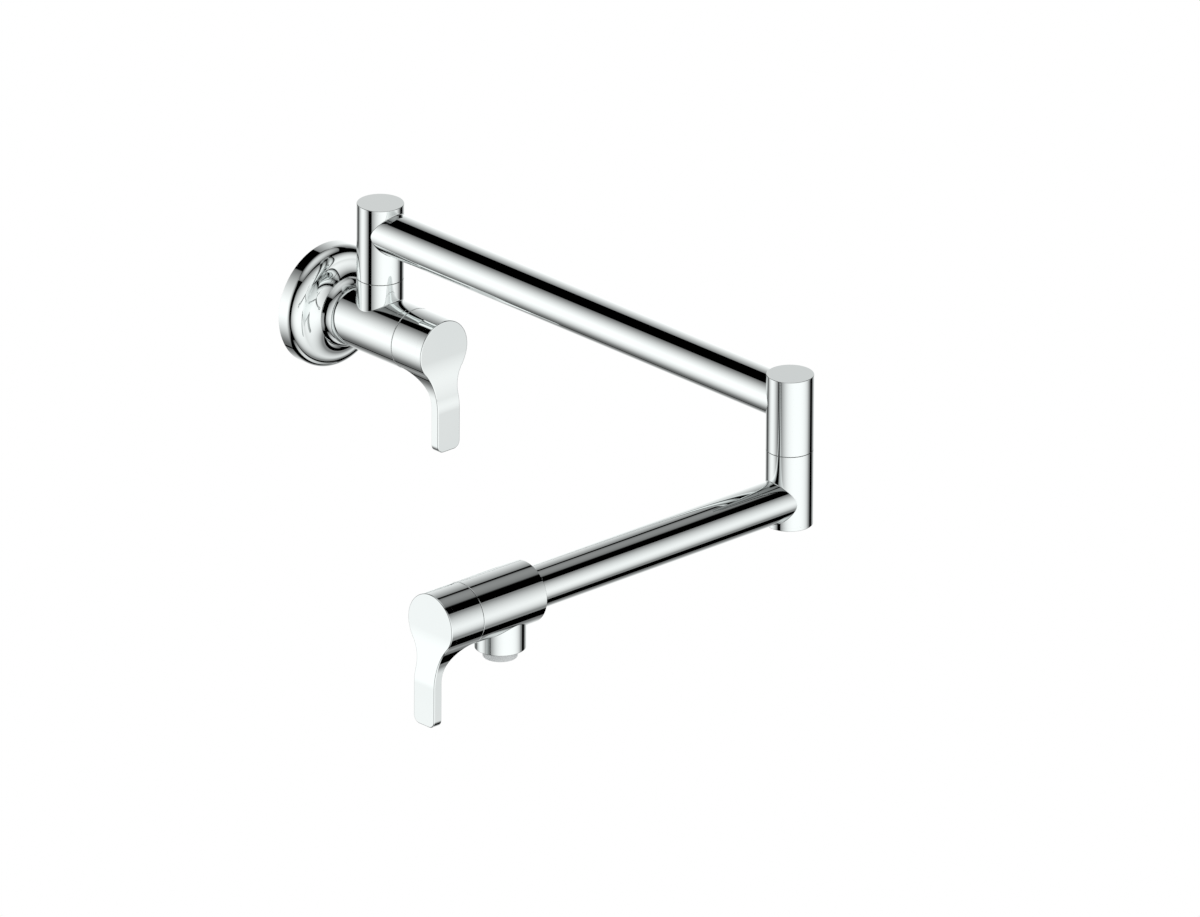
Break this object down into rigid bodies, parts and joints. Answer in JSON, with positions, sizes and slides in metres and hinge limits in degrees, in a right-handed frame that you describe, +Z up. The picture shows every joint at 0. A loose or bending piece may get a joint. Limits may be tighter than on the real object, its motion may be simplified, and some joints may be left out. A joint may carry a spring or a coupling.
{
  "type": "wall mounted pot filler",
  "caption": "Wall mounted pot filler: round flange, swivel posts that carry folding arms, a quarter-turn lever valve at the wall and another above the downward spout",
  "frame": {"origin": "centre of the wall flange's back face, on the axis of the wall valve", "axes": "+Z up, the wall is the plane Y = 0 and the part stands out of it towards -Y"},
  "size_m": [0.2958, 0.3777, 0.126],
  "materials": {
    "chrome": "mirror polished plating",
    "brass": "bare machined",
    "steel": "bare stainless",
    "rubber": "moulded black",
    "ceramic": "lapped ceramic",
    "bearing_plastic": "natural acetal",
    "aerator_plastic": "moulded pale grey"
  },
  "bodies": {
    "wall_base": {"wall_flange": "chrome", "flange_seal": "rubber", "mounting_plate": "steel", "body_grub_screws": "steel", "wall_valve_body": "chrome", "wall_seat_seal": "rubber", "wall_cartridge": "brass", "wall_fixed_disc": "ceramic", "wall_swivel_spigot": "brass", "wall_swivel_o_rings": "rubber", "wall_swivel_thrust_washer": "bearing_plastic", "wall_swivel_retaining_clip": "steel"},
    "wall_lever": {"wall_handle": "chrome", "wall_handle_grub_screw": "steel", "wall_spindle": "brass", "wall_spindle_ring": "rubber", "wall_turning_disc": "ceramic"},
    "upper_arm": {"wall_turning_post": "chrome", "wall_swivel_post_cap": "chrome", "upper_arm_tube": "chrome", "elbow_upper_post": "chrome", "elbow_swivel_spigot": "brass", "elbow_swivel_o_rings": "rubber", "elbow_swivel_thrust_washer": "bearing_plastic", "elbow_swivel_retaining_clip": "steel"},
    "lower_arm": {"elbow_lower_post": "chrome", "elbow_swivel_post_cap": "chrome", "lower_arm_tube": "chrome", "outlet_valve_body": "chrome", "outlet_seat_seal": "rubber", "outlet_cartridge": "brass", "outlet_fixed_disc": "ceramic", "spout_collar": "chrome", "aerator_ring": "aerator_plastic", "aerator_plate": "aerator_plastic", "aerator_mesh": "steel", "aerator_seal": "rubber"},
    "outlet_lever": {"outlet_handle": "chrome", "outlet_handle_grub_screw": "steel", "outlet_spindle": "brass", "outlet_spindle_ring": "rubber", "outlet_turning_disc": "ceramic"}
  },
  "joints": [
    {"name": "wall_swivel", "type": "hinge", "parent": "wall_base", "child": "upper_arm", "pos_m": [0, -0.0427, 0.0275], "axis": [0, 0, 1], "range_deg": [-90, 90]},
    {"name": "elbow_swivel", "type": "hinge", "parent": "upper_arm", "child": "lower_arm", "pos_m": [0, -0.3607, 0.0275], "axis": [0, 0, 1], "continuous": true},
    {"name": "wall_valve", "type": "hinge", "parent": "wall_base", "child": "wall_lever", "pos_m": [0, -0.0812, 0], "axis": [0, -1, 0], "range_deg": [0, 90]},
    {"name": "outlet_valve", "type": "hinge", "parent": "lower_arm", "child": "outlet_lever", "pos_m": [-0.246, -0.3607, 0], "axis": [-1, 0, 0], "range_deg": [0, 90]}
  ]
}
